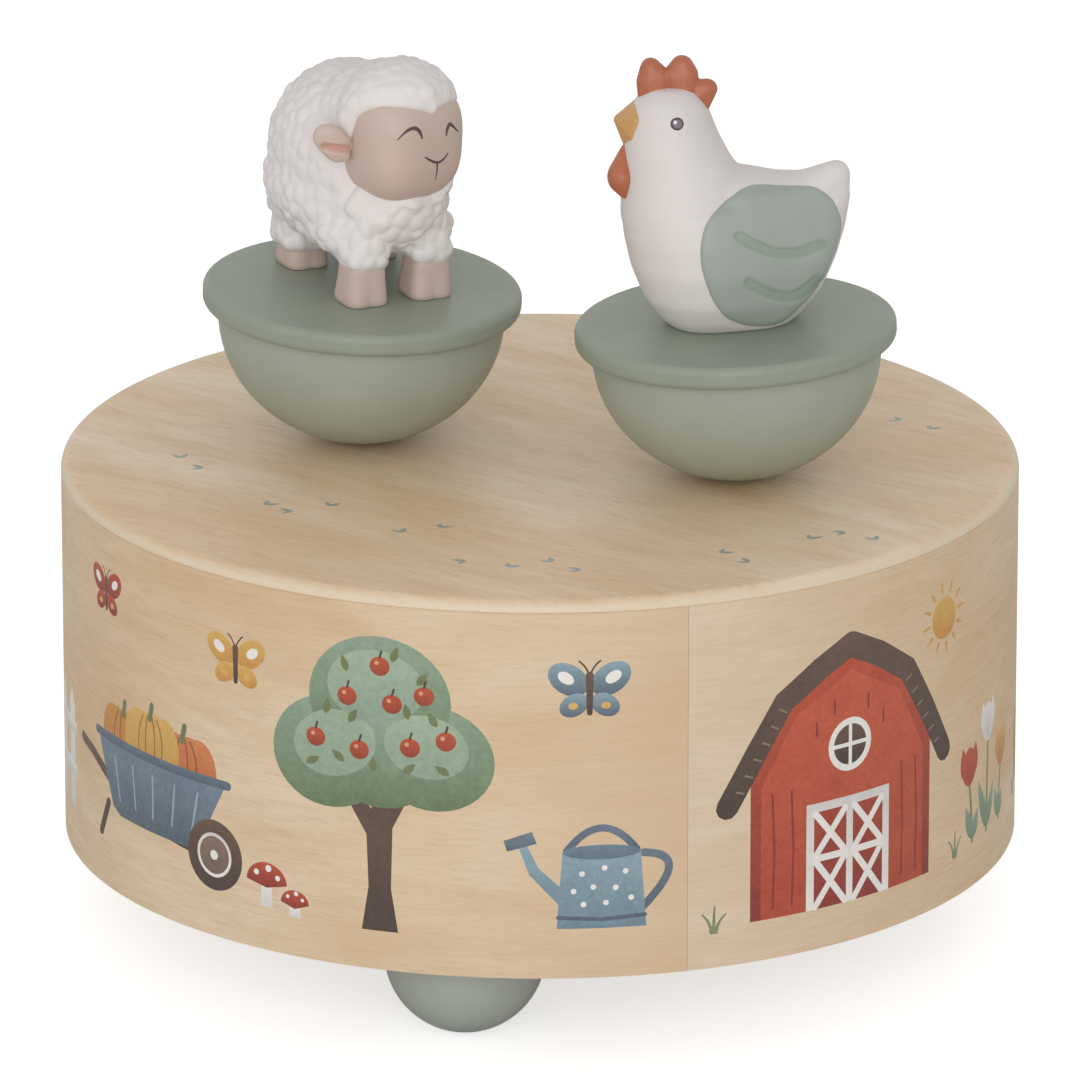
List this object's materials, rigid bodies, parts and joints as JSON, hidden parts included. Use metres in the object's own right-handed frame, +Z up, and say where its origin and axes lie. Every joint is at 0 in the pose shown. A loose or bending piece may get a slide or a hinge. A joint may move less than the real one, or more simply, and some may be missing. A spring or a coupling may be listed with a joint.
{
  "type": "toy music box",
  "caption": "Round wooden toy music box on ball feet; a wind-up movement turns magnets under the lid that carry a rocking sheep and hen on round bowls.",
  "frame": {"origin": "on the ground, on the axis of the drum", "axes": "+Z up along the drum axis, the front of the drum faces -Y, +X to the right seen from the front"},
  "size_m": [0.12, 0.12, 0.1157],
  "materials": {
    "core_wood": "raw fibreboard",
    "side_veneer": "pale birch veneer, satin lacquer",
    "lid_wood": "pale birch plywood, satin lacquer",
    "base_wood": "birch plywood, thin lacquer",
    "sage_foot": "satin sage paint",
    "sage_bowl": "satin sage paint",
    "sage_disc": "satin sage paint",
    "dowel_wood": "raw beech",
    "sheep_paint": "cast resin, satin white paint with a beige face",
    "hen_paint": "cast resin, satin white paint with sage wings",
    "steel": "bright steel",
    "spring_steel": "blued steel strip",
    "zinc": "die-cast zinc",
    "brass": "polished brass",
    "magnet_nickel": "nickel plated",
    "carrier_plastic": "moulded black plastic"
  },
  "bodies": {
    "drum": {"core_ring": "core_wood", "veneer_wrap": "side_veneer", "top_plate": "lid_wood", "bottom_plate": "base_wood", "front_foot": "sage_foot", "right_foot": "sage_foot", "left_foot": "sage_foot", "foot_screws": "steel", "bottom_plate_screws": "steel", "mounting_screws": "steel", "bedplate": "zinc", "barrel_bridge": "brass", "near_bracket": "brass", "far_bracket": "brass", "comb_base": "zinc", "comb": "steel", "movement_screws": "steel", "governor_frame": "brass"},
    "winding": {"winding_arbor": "steel", "ratchet_wheel": "brass", "winding_key": "steel"},
    "click_lever": {"click": "brass"},
    "rotor": {"spring_barrel": "brass", "mainspring": "spring_steel", "barrel_cover": "brass", "rotor_hub": "steel", "set_screw": "steel", "magnet_carrier": "carrier_plastic", "sheep_drive_magnet": "magnet_nickel", "hen_drive_magnet": "magnet_nickel"},
    "cylinder": {"cylinder_arbor": "steel", "melody_cylinder": "brass", "cylinder_pinion": "steel", "cylinder_gear": "brass"},
    "governor": {"governor_arbor": "steel", "governor_wheel": "brass"},
    "worm_shaft": {"worm": "steel", "air_brake": "brass"},
    "sheep_rocker": {"sheep_magnet": "magnet_nickel"},
    "sheep_figure": {"sheep_bowl": "sage_bowl", "sheep_dowel": "dowel_wood", "sheep_disc": "sage_disc", "sheep_pins": "steel", "sheep": "sheep_paint"},
    "hen_rocker": {"hen_magnet": "magnet_nickel"},
    "hen_figure": {"hen_bowl": "sage_bowl", "hen_dowel": "dowel_wood", "hen_disc": "sage_disc", "hen_pins": "steel", "hen": "hen_paint"}
  },
  "joints": [
    {"name": "winding_turn", "type": "hinge", "parent": "drum", "child": "winding", "pos_m": [0, 0, 0.0205], "axis": [0, 0, 1], "continuous": true},
    {"name": "click_lift", "type": "hinge", "parent": "drum", "child": "click_lever", "pos_m": [-0.01128, 0.0041, 0.021], "axis": [0, 0, 1], "range_deg": [-8, 0], "stiffness_Nm_per_rad": 0.002},
    {"name": "rotor_turn", "type": "hinge", "parent": "drum", "child": "rotor", "pos_m": [0, 0, 0.0232], "axis": [0, 0, 1], "continuous": true},
    {"name": "cylinder_turn", "type": "hinge", "parent": "drum", "child": "cylinder", "pos_m": [0.019, 0, 0.0284], "axis": [1, 0, 0], "continuous": true},
    {"name": "governor_turn", "type": "hinge", "parent": "drum", "child": "governor", "pos_m": [0.043, 0.00958, 0.0284], "axis": [1, 0, 0], "continuous": true},
    {"name": "worm_turn", "type": "hinge", "parent": "drum", "child": "worm_shaft", "pos_m": [0.0434, 0.01538, 0.0284], "axis": [0, 0, 1], "continuous": true},
    {"name": "sheep_rock", "type": "hinge", "parent": "rotor", "child": "sheep_rocker", "pos_m": [-0.02221, 0.00554, 0.08114], "axis": [-0.9703, 0.2421, 0], "range_deg": [-12, 12], "stiffness_Nm_per_rad": 0.03},
    {"name": "sheep_spin", "type": "hinge", "parent": "sheep_rocker", "child": "sheep_figure", "pos_m": [-0.02221, 0.00554, 0.08114], "axis": [0.0453, -0.0384, 0.9982], "continuous": true},
    {"name": "hen_rock", "type": "hinge", "parent": "rotor", "child": "hen_rocker", "pos_m": [0.02421, -0.00954, 0.08114], "axis": [0.9304, -0.3667, 0], "range_deg": [-12, 12], "stiffness_Nm_per_rad": 0.03},
    {"name": "hen_spin", "type": "hinge", "parent": "hen_rocker", "child": "hen_figure", "pos_m": [0.02421, -0.00954, 0.08114], "axis": [-0.0454, -0.0157, 0.9988], "continuous": true}
  ],
  "couplings": [
    {"joint": "cylinder_turn", "follows": "rotor_turn", "ratio": 3.3333},
    {"joint": "governor_turn", "follows": "rotor_turn", "ratio": -9.3333},
    {"joint": "worm_turn", "follows": "rotor_turn", "ratio": 168}
  ]
}
